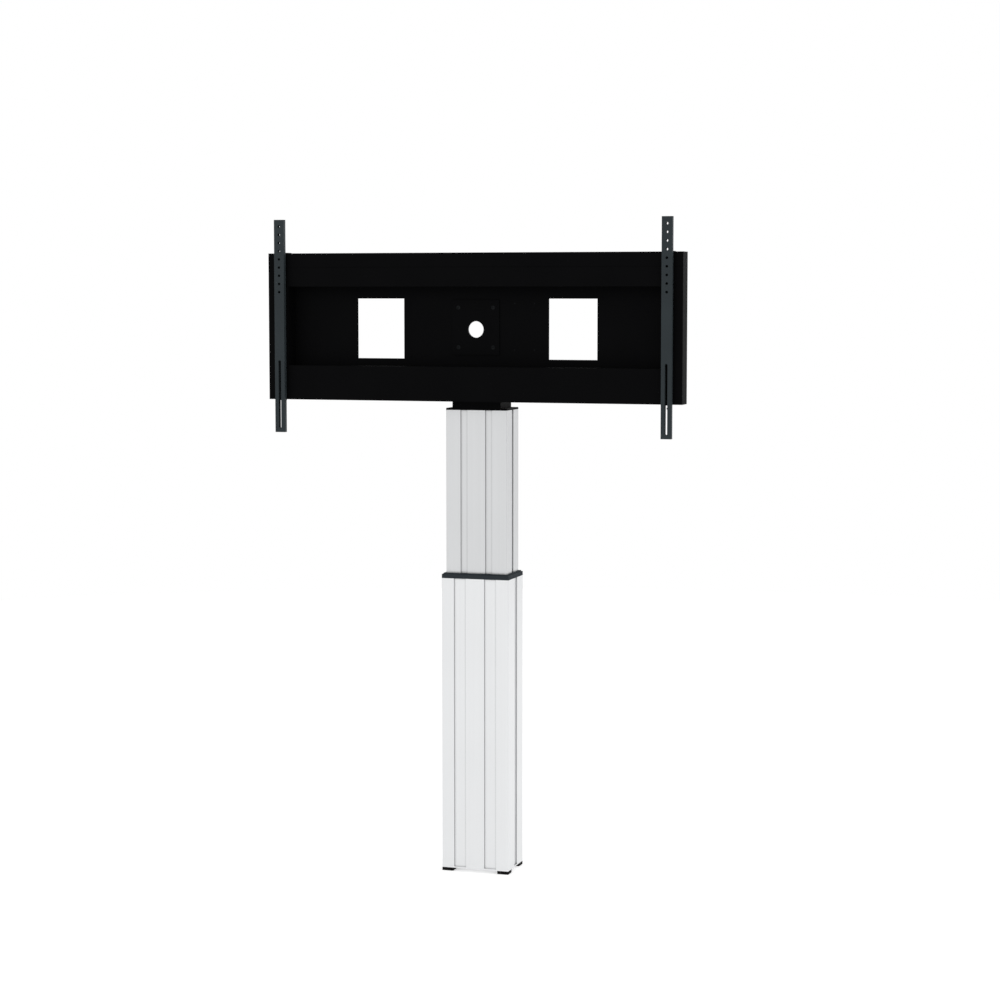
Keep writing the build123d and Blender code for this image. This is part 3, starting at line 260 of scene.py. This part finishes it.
def mouldedPlastic(name, tones, dimple, roughness, values):
    # injection moulded against a spark-eroded mould: even, finely dimpled, low shine
    look = {"tones": tones, "span": (0.3, 0.7), "detail": 4, "bump": (0.2, 0.1),
            "roughness": (roughness - 0.05, roughness + 0.05)}
    material, tree, shader = newMaterial(name, values)
    dimples = addNode(tree, "TexNoise", {"Scale": perMetre(dimple), "Detail": look["detail"]},
                      {"Vector": onObject(tree)})
    makeSkin(tree, shader, dimples.outputs[0], dimples.outputs[0], look)
    return material


def turnedMetal(name, tones, ring, roughness):
    # turned or ground round its axis: fine rings square to Z
    look = {"tones": tones, "span": (0.3, 0.7), "detail": 3, "across": 0.02, "bump": (0.2, 0.04),
            "roughness": (roughness - 0.06, roughness + 0.06)}
    material, tree, shader = newMaterial(name, {"Metallic": 1.0})
    rings = addNode(tree, "TexNoise", {"Scale": perMetre(ring), "Detail": look["detail"]},
                    {"Vector": onObject(tree, (look["across"], look["across"], 1))})
    makeSkin(tree, shader, rings.outputs[0], rings.outputs[0], look)
    return material


def platedSteel(name, tones, roughness):
    # electroplated or blacked screws: bright metal with a slightly cloudy film
    look = {"tones": tones, "span": (0.35, 0.65), "cloud": 6, "detail": 4,
            "roughness": (roughness - 0.06, roughness + 0.08)}
    material, tree, shader = newMaterial(name, {"Metallic": 1.0})
    film = addNode(tree, "TexNoise", {"Scale": perMetre(look["cloud"]), "Detail": look["detail"]},
                   {"Vector": onObject(tree)})
    makeSkin(tree, shader, film.outputs[0], film.outputs[0], look)
    return material


def solderMask():
    # green lacquer over copper tracks, which stand up under it as paler lines
    look = {"tones": ("0E3B22", "2C6B3F"), "span": (0, 1), "track": 10, "gap": 0.05, "bump": (0.3, 0.05)}
    material, tree, shader = newMaterial("solderMask", {"Roughness": 0.3})
    tracks = addNode(tree, "TexBrick", {"Scale": perMetre(look["track"]), "Mortar Size": look["gap"]},
                     {"Vector": onObject(tree)})
    makeSkin(tree, shader, tracks.outputs["Fac"], tracks.outputs["Fac"], look)
    return material


def laminatedIron():
    # a stack of varnished iron sheets; a wave texture's band is a twentieth of its scale
    look = {"tones": ("3A3630", "6B6152"), "span": (0, 1), "sheet": 1, "waviness": 0.4, "bump": (0.4, 0.1)}
    material, tree, shader = newMaterial("laminatedIron", {"Roughness": 0.45, "Metallic": 0.4})
    sheets = addNode(tree, "TexWave", {"Scale": perMetre(look["sheet"]) / 20, "Distortion": look["waviness"]},
                     {"Vector": onObject(tree)}, bands_direction="Y")
    makeSkin(tree, shader, sheets.outputs["Fac"], sheets.outputs["Fac"], look)
    return material


# tones are the darker and the lighter colour of each finish
outerAluminium = anodisedAluminium("anodisedAluminiumOuter", ("DBDCDD", "DFE0E1"))  # pale, almost white metal
shadedInnerAluminium = anodisedAluminium("anodisedAluminiumInnerShaded", ("CACBCC", "CFD0D1"))  # the same finish a few tones darker: painted shade on the inner column
plateAluminium = anodisedAluminium("anodisedAluminiumPlate", ("DCDDDE", "E2E3E4"))

# flat black that hides its folds, and a slate blue-grey
blackPowder = powderCoat("blackPowderCoat", ("060607", "080809"), {"Specular IOR Level": 0.025})
slatePowder = powderCoat("slatePowderCoat", ("292F32", "2E3538"), {"Specular IOR Level": 0.15})

# plastics, each with its dimples in millimetres, drawn about ten times too coarse, to show
collarPlastic = mouldedPlastic("collarAbs", ("2E3337", "33383C"), 1.5, 0.7, {"Specular IOR Level": 0.04})
padRubber = mouldedPlastic("padRubber", ("080808", "0D0D0D"), 1.2, 0.85, {"Specular IOR Level": 0.15})
acetal = mouldedPlastic("naturalAcetal", ("DAD6CB", "E4E1D8"), 2, 0.35, {"IOR": 1.48})  # milky, waxy
casePlastic = mouldedPlastic("controlCaseAbs", ("161719", "1D1E20"), 1.5, 0.55, {"Specular IOR Level": 0.25})
inletPlastic = mouldedPlastic("inletPolyamide", ("0E0E0F", "141415"), 2, 0.3, {"Specular IOR Level": 0.4})
cablePvc = mouldedPlastic("cablePvc", ("0F0F10", "151516"), 3, 0.45, {"IOR": 1.52, "Specular IOR Level": 0.3})
motorPaint = mouldedPlastic("motorEnamel", ("151618", "1C1D1F"), 3, 0.35, {"Specular IOR Level": 0.4})

zincPlate = platedSteel("zincPlatedSteel", ("B3B7B9", "C9CDD0"), 0.3)  # cool, slightly blue
blackOxide = platedSteel("blackOxideSteel", ("121314", "1A1B1C"), 0.45)  # oiled black

# turned metals, each with its tool marks in millimetres, drawn about five times too coarse, to show
groundSteel = turnedMetal("groundSteel", ("A9AAAC", "C4C5C6"), 0.8, 0.25)
turnedSteel = turnedMetal("turnedGearboxSteel", ("96979A", "B4B5B6"), 1.2, 0.35)
ballSteel = turnedMetal("polishedBearingSteel", ("C2C3C5", "D2D3D4"), 0.6, 0.14)
nutBronze = turnedMetal("turnedBronze", ("987343", "B8935A"), 1, 0.32)

boardGreen = solderMask()
coreIron = laminatedIron()

# the first pattern that fits a node's name gives its finish
finishes = [
    ("outer_profile", outerAluminium),
    ("inner_profile", shadedInnerAluminium),
    ("end_plate", plateAluminium),
    ("floor_pad_screws", zincPlate),
    ("floor_pad_*", padRubber),
    ("collar", collarPlastic),
    ("*_glide_*", acetal),
    ("left_arm", slatePowder),
    ("right_arm", slatePowder),
    ("*_hook", blackPowder),
    ("cap_plate", blackPowder),
    ("neck_bracket", blackPowder),
    ("mounting_panel", blackPowder),
    ("centre_plate", blackPowder),
    ("cap_plate_screws", blackOxide),
    ("neck_screws", blackOxide),
    ("panel_screws", blackOxide),
    ("panel_nuts", blackOxide),
    ("control_box*_screws", blackOxide),
    ("*_clamp_screw", blackOxide),
    ("*_screws", zincPlate),
    ("nut_lock_screw", zincPlate),
    ("control_box_spacers", zincPlate),
    ("spindle_nut", nutBronze),
    ("spindle*", groundSteel),
    ("motor_plate", groundSteel),
    ("motor_cable", cablePvc),
    ("motor", motorPaint),
    ("gearbox", turnedSteel),
    ("bearing_housing", turnedSteel),
    ("bearing_*", ballSteel),
    ("control_box_*", casePlastic),
    ("control_board", boardGreen),
    ("transformer", coreIron),
    ("mains_inlet", inletPlastic),
    ("handset_socket", inletPlastic),
]
for name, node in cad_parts.items():
    material = next(material for pattern, material in finishes if fnmatch.fnmatchcase(name, pattern))
    node.data.materials.clear()
    node.data.materials.append(material)
print("finishes given to", len(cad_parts), "nodes")


def addPiece(name, builder, material, body, replaced):
    bmesh.ops.recalc_face_normals(builder, faces=builder.faces[:])
    mesh = bpy.data.meshes.new(name)
    builder.to_mesh(mesh)
    builder.free()
    mesh.materials.append(material)
    piece = bpy.data.objects.new(name, mesh)
    bpy.context.scene.collection.objects.link(piece)
    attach(piece, body)
    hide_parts(replaced)
    print(name, "has", len(mesh.polygons), "faces")


def cutAway(builder, place, normal):
    # removes what lies beyond the plane and closes the cut
    geometry = builder.verts[:] + builder.edges[:] + builder.faces[:]
    bmesh.ops.bisect_plane(builder, geom=geometry, dist=0.0001 * mm, plane_co=place,
                           plane_no=normal, clear_outer=True)
    bmesh.ops.holes_fill(builder, edges=[edge for edge in builder.edges if edge.is_boundary], sides=0)


def makeSpindle():
    # four-start trapezoidal thread, as rolled on lift spindles
    screw = {
        "crest": 10,
        "root": 8.2,
        "pitch": 4,
        "starts": 4,
        "flat": 1.4,
        "flank": 0.6,
        "steps": 24,
        "weld": 0.02,
        "threadTop": 1205,
        "journal": 7.5,
        "journalSides": 48,
        "chamfer": 1,
    }
    lowest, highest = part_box("spindle")
    lead = screw["pitch"] * screw["starts"]
    threadLength = screw["threadTop"] - lowest[2] / mm
    turns = math.ceil(threadLength / lead) + 2  # one to spare at each end, for the cuts

    # one lead of the thread's outline, wound upwards
    builder = bmesh.new()
    corners = [
        (screw["root"], 0),
        (screw["root"], screw["flat"]),
        (screw["crest"], screw["flat"] + screw["flank"]),
        (screw["crest"], 2 * screw["flat"] + screw["flank"]),
    ]
    start = lowest[2] / mm - 2 * lead
    line = [builder.verts.new((radius * mm, 0, (start + rise + tooth * screw["pitch"]) * mm))
            for tooth in range(screw["starts"]) for radius, rise in corners]
    line.append(builder.verts.new((screw["root"] * mm, 0, (start + lead) * mm)))
    for below, above in zip(line, line[1:]):
        builder.edges.new((below, above))
    bmesh.ops.spin(builder, geom=builder.verts[:] + builder.edges[:], cent=(0, 0, 0), axis=(0, 0, 1),
                   dvec=(0, 0, lead * mm / screw["steps"]), angle=2 * math.pi * turns,
                   steps=screw["steps"] * turns)
    bmesh.ops.remove_doubles(builder, verts=builder.verts[:], dist=screw["weld"] * mm)
    cutAway(builder, (0, 0, lowest[2]), (0, 0, -1))
    cutAway(builder, (0, 0, screw["threadTop"] * mm), (0, 0, 1))

    # plain journal above the shoulder, with a chamfered end
    height = highest[2] / mm - screw["threadTop"]
    middle = (0, 0, (screw["threadTop"] + height / 2) * mm)
    journal = bmesh.ops.create_cone(
        builder, cap_ends=True, segments=screw["journalSides"], radius1=screw["journal"] * mm,
        radius2=screw["journal"] * mm, depth=height * mm, matrix=Matrix.Translation(middle))
    rim = {edge for vert in journal["verts"] for edge in vert.link_edges
           if all(end.co.z > highest[2] - screw["weld"] * mm for end in edge.verts)}
    bmesh.ops.bevel(builder, geom=list(rim), offset=screw["chamfer"] * mm, offset_type="OFFSET", segments=1,
                    profile=0.5, affect="EDGES", material=-1)
    addPiece("threaded_spindle", builder, groundSteel, "spindle_drive", "spindle")


def makeNuts():
    # hexagon nuts cut from a round blank, so each corner keeps its curved chamfer
    nut = {
        "radius": 7.5,
        "bore": 4.05,
        "bevel": 0.4,
        "faceShare": 0.84,
        "slope": 0.58,
        "steps": 36,
        "weld": 0.001,
    }
    lowest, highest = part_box("panel_nuts")
    height = (highest[1] - lowest[1]) / mm
    radius, bore, bevel = nut["radius"], nut["bore"], nut["bevel"]
    face = radius * nut["faceShare"]
    drop = (radius - face) * nut["slope"]
    flat = radius * math.cos(math.radians(30))

    # the blank's section, its rims bevelled, spun round the screw's axis
    blank = [
        (bore, bevel),
        (bore + bevel, 0),
        (face, 0),
        (radius, drop),
        (radius, height - drop),
        (face, height),
        (bore + bevel, height),
        (bore, height - bevel),
    ]
    builder = bmesh.new()
    ring = [builder.verts.new((across * mm, along * mm, 0)) for across, along in blank]
    for here, there in zip(ring, ring[1:] + ring[:1]):
        builder.edges.new((here, there))
    bmesh.ops.spin(builder, geom=builder.verts[:] + builder.edges[:], cent=(0, 0, 0), axis=(0, 1, 0),
                   angle=2 * math.pi, steps=nut["steps"], use_merge=True)
    bmesh.ops.remove_doubles(builder, verts=builder.verts[:], dist=nut["weld"] * mm)
    for side in range(6):
        turn = math.radians(60 * side + 30)
        outward = Vector((math.cos(turn), 0, math.sin(turn)))
        cutAway(builder, outward * flat * mm, outward)

    # one nut at each corner of the box that the CAD nuts fill
    first = builder.verts[:] + builder.edges[:] + builder.faces[:]
    middle = [(low + high) / 2 for low, high in zip(lowest, highest)]
    reachX = (highest[0] - lowest[0]) / 2 - radius * mm
    reachZ = (highest[2] - lowest[2]) / 2 - flat * mm
    places = [Vector((middle[0] + x * reachX, lowest[1], middle[2] + z * reachZ))
              for x, z in ((1, -1), (-1, 1), (1, 1), (-1, -1))]
    nuts = [bmesh.ops.duplicate(builder, geom=first)["geom"] for copy in range(3)] + [first]
    for geometry, place in zip(nuts, places):
        bmesh.ops.translate(builder, verts=[item for item in geometry if isinstance(item, bmesh.types.BMVert)],
                            vec=place)
    addPiece("panel_hex_nuts", builder, blackOxide, "lift_head", "panel_nuts")


makeSpindle()
makeNuts()
print("new pieces made")
